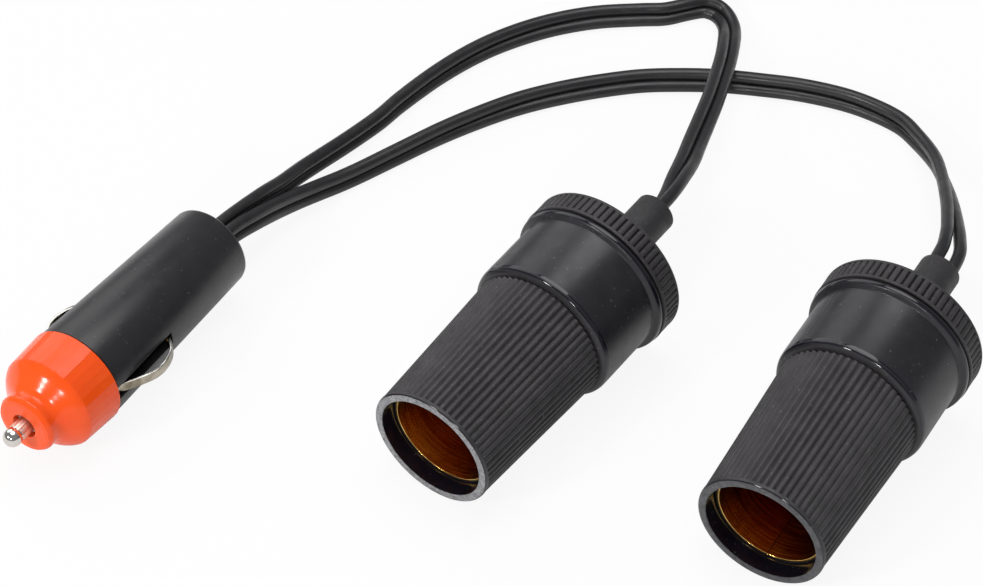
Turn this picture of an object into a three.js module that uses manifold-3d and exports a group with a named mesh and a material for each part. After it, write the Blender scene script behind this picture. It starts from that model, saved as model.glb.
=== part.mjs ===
// Two-way splitter for a 12 V car lighter socket: one plug, two flat twin cords, two sockets.
// Millimetres, +Z up, floor at z = 0. The plug's axis runs along +Y, nose towards -Y.
import * as THREE from "three";
import Module from "manifold-3d";
import { mergeVertices } from "three/addons/utils/BufferGeometryUtils.js";

const wasm = await Module();
wasm.setup();

// Shared sizes
const gap = 0.3;              // clearance between neighbouring pieces
const bite = 0.1;             // how deep two shapes of one piece run into each other
const roundSides = 32;        // sides of a large turned surface
const smallSides = 16;        // sides of a small turned surface
const flatShare = Math.cos(Math.PI / roundSides); // flat of a large turned surface, as a share of its radius

// Flat twin cord
const cordWide = 5.3;
const cordThick = 2.65;
const grooveThick = 1.9;      // thickness left at the groove between the two conductors
const cordSteps = 40;
const wireR = 0.65;           // bared, twisted conductor
const laneAt = (cordWide - cordThick) / 2; // each conductor's place across the cord

// Socket radii, worked out from the bore
const boreR = 10.6;           // inside of the brass shell, takes a 21 mm plug
const shellWall = 0.5;
const mouthWall = 1.73;
const mouthInnerR = boreR + shellWall + gap;
const mouthOuterR = mouthInnerR + mouthWall;
const ribDeep = 0.45;
const ribStep = 0.08;         // the flutes' crests lie this far below the mouth ring
const ribTaper = 1.35;        // how much the fluted grip widens towards its rear
const ribFrontR = mouthOuterR - ribStep;
const ribRearR = ribFrontR + ribTaper;
const coreStep = 0.2;         // the grooves at the flutes' ends are this much deeper than the flutes
const bevelStep = 0.07;
const bandStep = 1.335;
const bandR = ribRearR + bandStep;
const flangeStep = 1.245;
const flangeR = bandR + flangeStep;
const neckStep = 0.935;
const neckR = bandR - neckStep;
const neckWall = 2.3;
const capStep = 0.18;
const capR = flangeR + capStep;

// Brass shell and the shelf that it stands on
const shellFront = 3.76;      // how far the shell's edge lies inside the mouth
const shellLong = 42.94;
const shellRear = shellFront + shellLong;
const seamWide = 0.4;
const shelfThick = 2.4;
const shelfFront = shellRear + gap;
const shelfRear = shelfFront + shelfThick;

// Socket lengths along its axis, from the mouth to the rear
const mouthEdge = 0.3;        // chamfer of the mouth ring
const mouthRingLong = 1.6;
const gripLong = 32.8;
const grooveLong = 0.56;
const bevelLong = 1.19;
const bandBehind = 1.27;      // from the shelf's rear to the rear of the band
const flangeBevelLong = 0.92;
const flangeLong = 0.61;
const neckLong = 3.5;
const ribEnd = mouthRingLong + gripLong;
const bevelFront = ribEnd + grooveLong;
const bandFront = bevelFront + bevelLong;
const bandRear = shelfRear + bandBehind;
const flangeFront = bandRear + flangeBevelLong;
const flangeRear = flangeFront + flangeLong;
const neckRear = flangeRear + neckLong;
const ribCount = 58;

// Back cap with its cord boss
const capSeat = 0.55;         // open joint between flange and cap
const capLong = 4.95;
const capFront = flangeRear + capSeat;
const capRear = capFront + capLong;
const capRim = 0.6;
const capChamfer = 0.2;
const capFlutes = 71;
const capFluteDeep = 0.5;
const bossR = 4.25;
const bossLong = 16.9;
const bossEdge = 0.4;
const bossEnd = capRear + bossLong;

// Contacts at the bottom of a socket
const shankR = 1.5;
const bushWall = 2.2;
const bushR = shankR + gap + bushWall;
const shelfHoleR = bushR + gap;
const discR = 8.2;
const discThick = 1.5;
const discRear = shellRear - shellWall - gap;
const discFront = discRear - discThick;
const domeR = 4.0;
const domeHigh = 1.7;
const domeRear = discFront - gap;
const tagThick = 0.6;
const tagWide = 3.0;
const tagReach = 7.2;
const nutR = 3.2;
const nutThick = 1.8;
const shankOut = 0.6;         // thread that shows behind the nut
const tagFront = shelfRear + gap;
const nutFront = tagFront + tagThick + gap;
const shankRear = nutFront + nutThick + shankOut;
const earthTagAt = 8.3;
const earthTagBehind = 4.1;   // tag that shows behind the shelf
const earthTagRear = shelfRear + earthTagBehind;
const tailInside = 0.5;       // cord that shows inside the boss
const tailFront = neckRear - tailInside;
const liveBend = 3.6;         // how far from the axis each conductor bends towards its tag
const earthBend = 3.8;
const earthJoint = 2.6;       // from the conductor's start to its joint on the tag

// Plug radii
const barrelFrontR = 10.41;
const skirtStep = 0.31;       // the nose cap's skirt stands this much proud of the barrel
const skirtRearR = barrelFrontR + skirtStep;
const skirtTaper = 0.42;
const skirtFrontR = skirtRearR - skirtTaper;
const skirtFacets = 36;
const waistR = 6.2;
const noseDiscR = 6.3;
const noseBoreR = 3.75;
const plugNeckR = 9.0;
const barrelRearR = 8.89;
const barrelWall = 1.7;
const sleeveWall = 1.0;

// Plug lengths along its axis, measured from the joint of nose cap and barrel
const skirtLong = 8.5;
const noseLong = 16.05;
const noseFront = -noseLong;
const waistAt = -13.5;
const noseFrontWall = 1.45;
const plugNeckLong = 6.0;
const barrelLong = 43.7;
const barrelEdge = 2.0;       // radius of the rear edge
const barrelRearWall = 2.0;
const slotWide = 3.0;
const slotRear = 17.9;
const cordHoleHalf = 3.1;
const cordPitch = cordThick + gap; // the two cords leave the plug side by side
const plugRoll = 3;           // degrees that the plug is turned about its own axis

// Tip and fuse
const ballR = 2.0;
const pinReach = 3.3;         // from the nose's face to the centre of the ball
const pinR = 1.65;
const pinFluteHigh = 0.25;
const pinFlutes = 14;
const pinShankR = 2.2;
const pinHoleR = pinShankR + gap + bite;
const collarR = 3.3;
const collarLong = 0.8;
const pinTail = 0.9;
const noseBoreEnd = noseFront + noseFrontWall;
const collarFront = noseBoreEnd + gap;
const pinRear = collarFront + collarLong + pinTail;
const fuseR = 3.25;
const fuseLong = 30;
const fuseCapLong = 6;
const fuseCapWall = 0.35;
const glassWall = 0.6;
const fuseWireR = 0.2;
const fuseFront = pinRear + gap;
const fuseRear = fuseFront + fuseLong;

// Spring, terminal and the wall behind them
const springWireR = 0.3;
const springR = 2.7;
const springTurns = 5;
const springSteps = 8;        // steps in each turn
const springRoom = 10.6;
const terminalThick = 1.0;
const tabThick = 0.8;
const tabWide = 3.0;
const tabBehind = 3.0;        // tab that shows behind the wall
const webThick = 1.4;
const sleeveBehind = 1.8;     // from the fuse's rear to the sleeve that guides it
const terminalFront = fuseRear + springRoom;
const terminalRear = terminalFront + terminalThick;
const webFront = terminalRear + gap;
const webRear = webFront + webThick;
const sleeveFront = fuseRear + sleeveBehind;
const tabRear = webRear + tabBehind;
const plugTailFront = tabRear + 1.0;

// Contact ring with its leg, and the two side strips
const ringR = 7.3;
const ringWall = 0.5;
const ringLong = 2.6;
const ringFront = -4.4;
const legThick = 0.6;
const legInset = 0.15;
const legOuter = ringR - legInset;
const legInner = legOuter - legThick;
const legRear = webRear + 2.5;
const stripThick = 0.6;
const stripWide = 2.0;
const stripRootR = ringR + gap + bite + stripThick / 2;
const stripLand = 0.8;        // end of the strip's flat seat, before the ring's rear
const riseAt = 0.6;           // where the strip leaves its slot
const bowR = 13.25;
const bowAt = 10.4;
const bowBack = 1.9;          // from the widest point of the bow to its shoulder
const curlSide = 5.0;
const curlRear = 6.6;
const curlEnd = 6.5;

// Where each unit lies on the floor
const plugX = -66.88;
const plugY = -43.94;
const socket1X = 2.35;
const socket1Y = -24.75;
const socket2X = 64.77;
const socket2Y = -9.38;
const sockets = [
  { number: 1, at: [socket1X, socket1Y], yaw: 3.77, seam: 80, cordRoll: 58 },
  { number: 2, at: [socket2X, socket2Y], yaw: -1.6, seam: -92, cordRoll: -15 },
];

// Geometry helpers

const radians = THREE.MathUtils.degToRad;

// A closed body from any geometry, turned face out.
function bodyOf(geometry) {
  const bare = geometry.index ? geometry.toNonIndexed() : geometry.clone();
  bare.deleteAttribute("normal");
  bare.deleteAttribute("uv");
  const merged = mergeVertices(bare, 1e-4);
  const kept = [];
  const index = merged.index.array;
  for (let i = 0; i < index.length; i += 3) {
    const [a, b, c] = [index[i], index[i + 1], index[i + 2]];
    if (a !== b && b !== c && c !== a) kept.push(a, b, c);
  }
  const make = (triangles) =>
    new wasm.Manifold(
      new wasm.Mesh({
        numProp: 3,
        vertProperties: new Float32Array(merged.attributes.position.array),
        triVerts: new Uint32Array(triangles),
      }),
    );
  const body = make(kept);
  if (body.volume() > 0) return body;
  const flipped = [];
  for (let i = 0; i < kept.length; i += 3) flipped.push(kept[i], kept[i + 2], kept[i + 1]);
  return make(flipped);
}

function geometryOf(body) {
  const mesh = body.getMesh();
  const position = new Float32Array(mesh.numVert * 3);
  for (let i = 0; i < mesh.numVert; i++) {
    for (let k = 0; k < 3; k++) position[3 * i + k] = mesh.vertProperties[i * mesh.numProp + k];
  }
  const geometry = new THREE.BufferGeometry();
  geometry.setAttribute("position", new THREE.BufferAttribute(position, 3));
  geometry.setIndex(new THREE.BufferAttribute(new Uint32Array(mesh.triVerts), 1));
  geometry.computeVertexNormals();
  return geometry;
}

// A turned body about the Y axis from [radius, distance] points.
function turned(points, sides = roundSides) {
  const profile = points.map(([r, y]) => new THREE.Vector2(r, y));
  const open = points[0][0] === 0 && points[points.length - 1][0] === 0;
  if (!open) profile.push(profile[0].clone());
  return bodyOf(new THREE.LatheGeometry(profile, sides));
}

// A plain disc or rod about the Y axis.
function rod(radius, from, to, sides = smallSides) {
  return turned([[0, from], [radius, from], [radius, to], [0, to]], sides);
}

// A straight prism along Y from an outline of [x, z] points.
function prism(outline, from, to) {
  const shape = new THREE.Shape(outline.map(([x, z]) => new THREE.Vector2(x, -z)));
  const geometry = new THREE.ExtrudeGeometry(shape, { depth: to - from, bevelEnabled: false });
  geometry.rotateX(-Math.PI / 2);
  geometry.translate(0, from, 0);
  return geometry;
}

// A plate whose outline lies in the plane of the axis, centred across its width along Z.
function plate(outline, width) {
  const shape = new THREE.Shape(outline.map(([r, y]) => new THREE.Vector2(r, y)));
  const geometry = new THREE.ExtrudeGeometry(shape, { depth: width, bevelEnabled: false });
  geometry.translate(0, 0, -width / 2);
  return geometry;
}

function box(x0, x1, y0, y1, z0, z1) {
  const geometry = new THREE.BoxGeometry(x1 - x0, y1 - y0, z1 - z0);
  geometry.translate((x0 + x1) / 2, (y0 + y1) / 2, (z0 + z1) / 2);
  return bodyOf(geometry);
}

// The outline of a ring of flutes, with a narrow V between broad crests.
function flutes(count, crestR, valleyR, crestShare) {
  const outline = [];
  for (let i = 0; i < count; i++) {
    for (const [share, r] of [[0, crestR], [crestShare, crestR], [(1 + crestShare) / 2, valleyR]]) {
      const a = ((i + share) / count) * 2 * Math.PI;
      outline.push([r * Math.cos(a), r * Math.sin(a)]);
    }
  }
  return outline;
}

// Widens a geometry along Y, from the scale 1 at y0 to the scale given at y1.
function widen(geometry, y0, y1, scale) {
  const p = geometry.attributes.position;
  for (let i = 0; i < p.count; i++) {
    const k = 1 + ((scale - 1) * (p.getY(i) - y0)) / (y1 - y0);
    p.setXYZ(i, p.getX(i) * k, p.getY(i), p.getZ(i) * k);
  }
  return geometry;
}

// A round wire along a smooth line through the points.
function wire(points, radius, steps, sides = 6) {
  const path = new THREE.CatmullRomCurve3(points.map((q) => new THREE.Vector3(...q)));
  const shape = new THREE.Shape();
  shape.absarc(0, 0, radius, 0, 2 * Math.PI, false);
  const geometry = new THREE.ExtrudeGeometry(shape, {
    steps, curveSegments: sides / 2, extrudePath: path, bevelEnabled: false,
  });
  return bodyOf(geometry);
}

// The edge outline of a strip bent along a smooth line of [radius, distance] points.
function stripOutline(points, thick) {
  const curve = new THREE.SplineCurve(points.map(([r, y]) => new THREE.Vector2(r, y)));
  const pieces = 20;
  const outside = [];
  const inside = [];
  for (let i = 0; i <= pieces; i++) {
    const at = curve.getPointAt(i / pieces);
    const along = curve.getTangentAt(i / pieces);
    outside.push([at.x + (along.y * thick) / 2, at.y - (along.x * thick) / 2]);
    inside.push([at.x - (along.y * thick) / 2, at.y + (along.x * thick) / 2]);
  }
  return outside.concat(inside.reverse());
}

// The figure-eight section of the twin cord, wide along x.
function cordSection() {
  const lobe = cordThick / 2;
  const outline = [[0, -grooveThick / 2]];
  for (const angle of [-90, -30, 30, 90]) {
    outline.push([laneAt + lobe * Math.cos(radians(angle)), lobe * Math.sin(radians(angle))]);
  }
  return outline.concat(outline.map(([x, y]) => [-x, -y]));
}

function material(color, roughness, metalness, opacity = 1) {
  return new THREE.MeshStandardMaterial({
    color, roughness, metalness, opacity, transparent: opacity < 1, flatShading: true,
  });
}

// Colour, roughness, metalness and opacity
const finishes = {
  black: [0x17171a, 0.5, 0],
  orange: [0xf04a1c, 0.3, 0],
  nickel: [0xc9c6bd, 0.3, 1],
  brass: [0xc79a3c, 0.3, 1],
  steel: [0x9a9c9f, 0.35, 1],
  fibre: [0x5a2a1a, 0.7, 0],
  copper: [0xb87040, 0.4, 1],
  glass: [0xdfe8ea, 0.08, 0, 0.35],
  cord: [0x131316, 0.35, 0],
};

function add(group, name, body, finish) {
  const mesh = new THREE.Mesh(geometryOf(body), material(...finishes[finish]));
  mesh.name = name;
  group.add(mesh);
}

const splitter = new THREE.Group();
splitter.name = "socket_splitter";

// Plug
const plug = new THREE.Group();
plug.position.set(plugX, plugY, skirtRearR);
plug.rotation.y = -radians(plugRoll);
splitter.add(plug);

// The nose cap: a small disc with the tip's hole, a waist, a round shoulder and a faceted skirt.
const noseLine = new THREE.SplineCurve([
  [noseDiscR - 0.8, noseFront + 0.3], [noseDiscR - 0.15, noseFront + 0.95], [waistR, waistAt],
  [waistR + 0.75, waistAt + 1.75], [skirtFrontR - 1.1, -skirtLong - 1.6], [skirtFrontR, -skirtLong],
].map(([r, y]) => new THREE.Vector2(r, y)));
const noseOutside = [
  [0, noseFront], [noseDiscR - 1.8, noseFront],
  ...noseLine.getPoints(10).map((q) => [q.x, q.y]),
  [skirtRearR, 0], [0, 0],
];
const noseInside = turned([
  [0, 1], [plugNeckR + gap, 1], [plugNeckR + gap, -plugNeckLong - gap],
  [noseBoreR, -plugNeckLong - gap], [noseBoreR, noseBoreEnd], [0, noseBoreEnd],
], skirtFacets);
const pinHole = rod(pinHoleR, noseFront - 1, noseBoreEnd + bite);
add(plug, "nose_cap", turned(noseOutside, skirtFacets).subtract(noseInside).subtract(pinHole), "orange");

// The barrel: tapered tube with a round rear edge, a front neck, two contact slots and an inner wall.
const barrelR = (y) => barrelFrontR + ((barrelRearR - barrelFrontR) * y) / barrelLong;
const barrelOutside = [
  [0, -plugNeckLong], [plugNeckR, -plugNeckLong], [plugNeckR, gap], [barrelR(gap), gap],
];
const edgePieces = 4;
for (let i = 0; i <= edgePieces; i++) {
  const a = (i / edgePieces) * (Math.PI / 2);
  barrelOutside.push([
    barrelR(barrelLong) - barrelEdge * (1 - Math.cos(a)),
    barrelLong - barrelEdge * (1 - Math.sin(a)),
  ]);
}
barrelOutside.push([0, barrelLong]);
const sleeveR = noseBoreR + sleeveWall;
const neckBoreR = ringR + gap;
const barrelBore = (y) => barrelR(y) - barrelWall;
const frontRoom = turned([
  [0, -plugNeckLong - 1], [neckBoreR, -plugNeckLong - 1], [neckBoreR, 1], [barrelBore(1), 1],
  [barrelBore(webFront), webFront], [sleeveR, webFront], [sleeveR, sleeveFront],
  [noseBoreR, sleeveFront], [noseBoreR, webFront], [0, webFront],
]);
const rearRoomEnd = barrelLong - barrelRearWall;
const rearRoom = turned([
  [0, webRear], [barrelBore(webRear), webRear], [barrelBore(rearRoomEnd), rearRoomEnd], [0, rearRoomEnd],
]);
const cordHole = box(
  -cordHoleHalf, cordHoleHalf, rearRoomEnd - 1, barrelLong + 1, -cordHoleHalf, cordHoleHalf,
);
const tabSlot = box(
  -tabWide / 2 - gap, tabWide / 2 + gap, webFront - 1, webRear + 1,
  -tabThick / 2 - gap, tabThick / 2 + gap,
);
const legSlot = box(
  -tabWide / 2 - gap, tabWide / 2 + gap, webFront - 1, webRear + 1, -legOuter - gap, -legInner + gap,
);
let barrel = turned(barrelOutside).subtract(frontRoom).subtract(rearRoom);
for (const [x0, x1] of [[-barrelFrontR - 1, -ringR], [ringR, barrelFrontR + 1]]) {
  barrel = barrel.subtract(box(x0, x1, -plugNeckLong - 1, slotRear, -slotWide / 2, slotWide / 2));
}
add(plug, "plug_barrel", barrel.subtract(cordHole).subtract(tabSlot).subtract(legSlot), "black");

// The tip: ball end, finely fluted shaft, shank and collar inside the nose.
const ballAt = noseFront - pinReach;
const pinProfile = [[0, ballAt - ballR]];
for (const angle of [30, 60, 90, 125]) {
  pinProfile.push([ballR * Math.sin(radians(angle)), ballAt - ballR * Math.cos(radians(angle))]);
}
const shankFront = noseFront + noseFrontWall - 0.3;
pinProfile.push(
  [pinR, shankFront], [pinShankR, shankFront], [pinShankR, collarFront], [collarR, collarFront],
  [collarR, collarFront + collarLong], [pinShankR, collarFront + collarLong],
  [pinShankR, pinRear], [0, pinRear],
);
const pinRidges = flutes(pinFlutes, pinR + pinFluteHigh, pinR - bite, 0.5);
const ridgeFront = ballAt + ballR - bite;
add(
  plug, "tip_pin",
  turned(pinProfile, smallSides).add(bodyOf(prism(pinRidges, ridgeFront, shankFront + bite))),
  "nickel",
);

// The fuse: a glass tube in two metal caps, with its wire.
const fuseCapBore = fuseR - fuseCapWall;
const glassR = fuseCapBore - gap;
for (const [name, closed, open] of [
  ["fuse_cap_front", fuseFront, fuseFront + fuseCapLong],
  ["fuse_cap_rear", fuseRear, fuseRear - fuseCapLong],
]) {
  const inside = closed + Math.sign(open - closed) * fuseCapWall;
  const profile = [
    [0, closed], [fuseR, closed], [fuseR, open], [fuseCapBore, open], [fuseCapBore, inside], [0, inside],
  ];
  add(plug, name, turned(profile, smallSides), "nickel");
}
const glassFront = fuseFront + fuseCapWall + gap;
const glassRear = fuseRear - fuseCapWall - gap;
const glassBore = glassR - glassWall;
add(plug, "fuse_glass", turned([
  [glassBore, glassFront], [glassR, glassFront], [glassR, glassRear], [glassBore, glassRear],
], smallSides), "glass");
add(plug, "fuse_wire", rod(fuseWireR, glassFront, glassRear, 6), "steel");

// The coil spring behind the fuse, and the terminal that it stands on.
const springFront = fuseRear + gap + springWireR;
const springRear = terminalFront - gap - springWireR;
const coil = [];
const coilPoints = springTurns * springSteps;
for (let i = 0; i <= coilPoints; i++) {
  const a = (i / springSteps) * 2 * Math.PI;
  const along = springFront + ((springRear - springFront) * i) / coilPoints;
  coil.push([springR * Math.cos(a), along, springR * Math.sin(a)]);
}
add(plug, "fuse_spring", wire(coil, springWireR, coilPoints), "steel");
const tab = box(-tabWide / 2, tabWide / 2, terminalRear - bite, tabRear, -tabThick / 2, tabThick / 2);
add(plug, "positive_terminal", rod(noseBoreR - gap, terminalFront, terminalRear).add(tab), "brass");

// The contact ring inside the neck, with the leg that runs back to the cords.
const ringBore = ringR - ringWall;
const ringRear = ringFront + ringLong;
const ring = turned([[ringBore, ringFront], [ringR, ringFront], [ringR, ringRear], [ringBore, ringRear]]);
const leg = box(-tabWide / 2, tabWide / 2, ringRear - legThick, legRear, -legOuter, -legInner);
add(plug, "contact_ring", ring.add(leg), "brass");

// The two side contacts: flat strips that bow outwards and curl back into the slots.
const bowOut = bowR - stripRootR;
const stripLine = [
  [0, ringFront], [0, ringRear - stripLand], [0.14 * bowOut, riseAt], [0.61 * bowOut, 0.43 * bowAt],
  [0.97 * bowOut, 0.83 * bowAt], [0.94 * bowOut, bowAt + bowBack], [0.65 * bowOut, bowAt + curlSide],
  [0.24 * bowOut, bowAt + curlRear], [0.08 * bowOut, bowAt + curlEnd],
].map(([out, y]) => [stripRootR + out, y]);
for (const [name, side] of [["side_contact_left", -1], ["side_contact_right", 1]]) {
  const strip = plate(stripOutline(stripLine, stripThick), stripWide);
  if (side < 0) strip.rotateY(Math.PI);
  add(plug, name, bodyOf(strip), "nickel");
}

// The ends of the two cords inside the plug, and their four bared conductors.
const liveAt = tabThick / 2 + gap + wireR;
const earthAt = -legInner + gap + wireR;
const wireStart = plugTailFront - gap;
for (const [number, side] of [[1, -1], [2, 1]]) {
  const x = (side * cordPitch) / 2;
  const near = side * (wireR + gap);
  const tail = prism(cordSection().map(([a, b]) => [x + b, a]), plugTailFront, barrelLong);
  add(plug, "plug_cord_end_" + number, bodyOf(tail), "cord");
  add(plug, "plug_live_wire_" + number, wire([
    [x, wireStart, laneAt], [near, wireStart - 0.9, liveAt], [near, wireStart - 2.5, liveAt],
  ], wireR, 5), "copper");
  add(plug, "plug_earth_wire_" + number, wire([
    [x, wireStart - bite, -laneAt], [x, wireStart - 0.6, -laneAt],
    [near, wireStart - 1.5, (earthAt - laneAt) / 2 - 0.1], [near, wireStart - 3.1, earthAt],
  ], wireR, 7), "copper");
}

// Sockets
const slope = (capR - mouthOuterR) / (capFront + capChamfer - mouthEdge);
const restTilt = Math.atan(slope);
const axisHeight = (mouthOuterR - slope * mouthEdge) * Math.cos(restTilt);

// One moulding: mouth ring, fluted grip, band, flange and neck, with a stepped bore.
function housingBody() {
  const coreFrontR = ribFrontR - ribDeep - coreStep;
  const coreRearR = ribRearR - ribDeep - coreStep;
  const core = turned([
    [0, 0], [mouthOuterR - mouthEdge, 0], [mouthOuterR, mouthEdge], [mouthOuterR, mouthRingLong],
    [coreFrontR, mouthRingLong], [coreRearR, bevelFront], [ribRearR + bevelStep, bevelFront],
    [bandR, bandFront], [bandR, bandRear], [flangeR, flangeFront], [flangeR, flangeRear],
    [neckR, flangeRear], [neckR, neckRear], [0, neckRear],
  ]);
  const grip = prism(flutes(ribCount, ribFrontR, ribFrontR - ribDeep, 0.55), mouthRingLong - bite, ribEnd);
  const bore = turned([
    [0, -1], [mouthInnerR + mouthEdge, -1], [mouthInnerR + mouthEdge, 0], [mouthInnerR, mouthEdge],
    [mouthInnerR, shelfFront], [shelfHoleR, shelfFront], [shelfHoleR, shelfRear],
    [neckR - neckWall, shelfRear], [neckR - neckWall, neckRear + 1], [0, neckRear + 1],
  ]);
  const tagHole = box(
    -earthTagAt - tagThick / 2 - gap, -earthTagAt + tagThick / 2 + gap, shelfFront - 1, shelfRear + 1,
    -tagWide / 2 - gap, tagWide / 2 + gap,
  );
  return core
    .add(bodyOf(widen(grip, mouthRingLong, ribEnd, ribRearR / ribFrontR)))
    .subtract(bore)
    .subtract(tagHole);
}

// A drawn cup with a hole in its floor and an open seam down one side.
function shellBody(seam) {
  const floorFront = shellRear - shellWall;
  const shell = turned([
    [boreR, shellFront], [boreR + shellWall, shellFront], [boreR + shellWall, shellRear],
    [shelfHoleR, shellRear], [shelfHoleR, floorFront], [boreR, floorFront],
  ]);
  const slit = box(
    boreR - 1, boreR + shellWall + 1, shellFront - 1, floorFront - 1, -seamWide / 2, seamWide / 2,
  );
  return shell.subtract(slit.rotate([0, -seam, 0]));
}

// A fluted disc between two plain rims, with the boss that the cord leaves through.
function backCapBody(cordRoll) {
  const crestR = capR * flatShare - 0.02;
  const valleyR = crestR - capFluteDeep;
  const coreR = valleyR - coreStep;
  const rims = turned([
    [0, capFront], [capR - capChamfer, capFront], [capR, capFront + capChamfer],
    [capR, capFront + capRim], [coreR, capFront + capRim], [coreR, capRear - capRim],
    [capR, capRear - capRim], [capR, capRear - capChamfer], [capR - capChamfer, capRear], [0, capRear],
  ]);
  const ribs = prism(
    flutes(capFlutes, crestR, valleyR, 0.5), capFront + capRim - bite, capRear - capRim + bite,
  );
  const boss = turned([
    [0, capRear - 0.5], [bossR, capRear - 0.5], [bossR, bossEnd - bossEdge],
    [bossR - bossEdge, bossEnd], [0, bossEnd],
  ], smallSides);
  const cavity = rod(neckR + gap, capFront - 1, neckRear + gap, roundSides);
  const holeWide = cordWide / 2 + gap;
  const holeThick = cordThick / 2 + gap;
  const hole = box(-holeWide, holeWide, neckRear, bossEnd + 1, -holeThick, holeThick);
  return rims.add(bodyOf(ribs)).add(boss).subtract(cavity).subtract(hole.rotate([0, cordRoll, 0]));
}

for (const { number, at, yaw, seam, cordRoll } of sockets) {
  const unit = new THREE.Group();
  unit.position.set(at[0], at[1], axisHeight);
  unit.rotation.set(restTilt, 0, -radians(yaw), "ZXY");
  splitter.add(unit);
  const name = (piece) => piece + "_" + number;
  add(unit, name("housing"), housingBody(), "black");
  add(unit, name("brass_shell"), shellBody(seam), "brass");
  add(unit, name("back_cap"), backCapBody(cordRoll), "black");

  // The insulating disc on the shell's floor, with the bush that passes through it.
  add(unit, name("insulating_disc"), turned([
    [shankR + gap, discFront], [discR, discFront], [discR, discRear], [bushR, discRear],
    [bushR, shelfRear], [shankR + gap, shelfRear],
  ], smallSides), "fibre");

  // The centre contact, its tag and nut.
  const contactProfile = [];
  for (const angle of [0, 25, 50, 75, 90]) {
    contactProfile.push([domeR * Math.sin(radians(angle)), domeRear - domeHigh * Math.cos(radians(angle))]);
  }
  contactProfile.push([shankR, domeRear], [shankR, shankRear], [0, shankRear]);
  add(unit, name("centre_contact"), turned(contactProfile, smallSides), "nickel");
  const shankHole = rod(shankR + gap, tagFront - 1, shankRear);
  const tag = rod(nutR, tagFront, tagFront + tagThick)
    .add(box(0, tagReach, tagFront, tagFront + tagThick, -tagWide / 2, tagWide / 2));
  add(unit, name("positive_tag"), tag.subtract(shankHole), "brass");
  add(unit, name("contact_nut"), rod(nutR, nutFront, nutFront + nutThick, 6).subtract(shankHole), "steel");

  // The earth tag, soldered to the shell's floor.
  add(unit, name("negative_tag"), box(
    -earthTagAt - tagThick / 2, -earthTagAt + tagThick / 2, shellRear + gap, earthTagRear,
    -tagWide / 2, tagWide / 2,
  ), "brass");

  // The end of the cord inside the boss, and its two bared conductors.
  const c = Math.cos(radians(cordRoll));
  const s = Math.sin(radians(cordRoll));
  const section = cordSection().map(([a, b]) => [a * c + b * s, -a * s + b * c]);
  add(unit, name("socket_cord_end"), bodyOf(prism(section, tailFront, bossEnd)), "cord");
  const start = tailFront - gap - bite;
  const liveX = tagReach - wireR - 0.75;
  const earthX = -earthTagAt + tagThick / 2 + gap + wireR;
  add(unit, name("socket_live_wire"), wire([
    [laneAt * c, start, -laneAt * s], [laneAt * c + bite, start - gap, -laneAt * s],
    [liveBend, start - 0.7, -0.4 * s], [liveX - 0.2, start - 1.8, 0], [liveX, nutFront, 0],
  ], wireR, 9), "copper");
  add(unit, name("socket_earth_wire"), wire([
    [-laneAt * c, start, laneAt * s], [-laneAt * c - bite, start - gap, laneAt * s],
    [-earthBend, start - 0.5, 0.4 * s], [earthX + 0.65, start - 1.0, 0], [earthX, start - earthJoint, 0],
  ], wireR, 9), "copper");
}

// Cords
// Each route runs from the plug to a socket's boss: x, y, z and the turn of the section in degrees.
const routes = {
  cord_to_socket_1: [
    [-68.35, 0.06, 10.7, 90], [-68.4, 5.1, 10.6, 90], [-67.6, 17.4, 9.3, 90], [-67.6, 24.3, 7.4, 90],
    [-67.9, 31.8, 5.6, 90], [-67.7, 38.6, 4.2, 90], [-67.1, 44.9, 3.3, 89], [-66.3, 51.2, 2.8, 88],
    [-65.4, 57.4, 2.7, 86], [-64.9, 64.2, 2.7, 83], [-63.0, 76.9, 2.7, 77], [-60.0, 88.1, 2.6, 70],
    [-55.7, 97.6, 2.5, 62], [-50.4, 105.7, 2.4, 54], [-44.2, 112.3, 2.4, 48], [-37.2, 117.7, 2.4, 48],
    [-32.6, 120.9, 2.5, 58], [-29.6, 124.4, 2.6, 66], [-27.4, 127.2, 2.5, 60], [-25.0, 128.4, 2.3, 42],
    [-22.6, 128.3, 1.8, 20], [-19.9, 126.1, 2.3, 2], [-17.0, 122.2, 3.5, -14], [-14.2, 116.8, 5.4, -24],
    [-10.9, 109.5, 7.3, -32], [-8.1, 102.2, 8.7, -34], [-5.0, 93.6, 10.2, -34], [-2.4, 85.6, 11.7, -32],
    [0.1, 77.7, 13.2, -25], [2.7, 69.8, 14.9, -6], [5.0, 61.2, 17.1, 28], [7.6, 54.7, 19.2, 58],
    [7.3, 49.8, 18.8, 58],
  ],
  cord_to_socket_2: [
    [-65.41, 0.06, 10.7, 90], [-65.4, 5.1, 10.6, 90], [-64.7, 13.3, 9.0, 90], [-64.5, 20.0, 6.8, 90],
    [-63.9, 26.1, 4.9, 90], [-62.7, 31.4, 3.7, 89], [-61.1, 36.3, 3.0, 88], [-59.4, 41.1, 2.7, 87],
    [-55.8, 50.8, 2.7, 84], [-52.1, 60.5, 2.7, 79], [-48.0, 69.6, 2.6, 72], [-43.3, 78.2, 2.5, 62],
    [-37.9, 85.7, 2.4, 52], [-32.0, 92.5, 2.3, 46], [-25.6, 98.6, 2.3, 45], [-18.5, 103.5, 2.4, 50],
    [-11.0, 107.8, 2.5, 58], [-3.1, 111.3, 2.6, 65], [4.9, 114.5, 2.6, 65], [13.5, 116.7, 2.6, 66],
    [20.5, 117.3, 2.6, 72], [28.2, 116.4, 2.7, 80], [34.1, 113.2, 3.2, 88], [40.8, 107.4, 5.2, 98],
    [46.5, 99.8, 8.2, 112], [51.8, 91.4, 11.7, 128], [56.5, 83.0, 15.0, 143], [60.3, 75.3, 17.6, 156],
    [62.5, 70.3, 19.2, 165], [62.7, 65.3, 18.8, 165],
  ],
};

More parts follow.
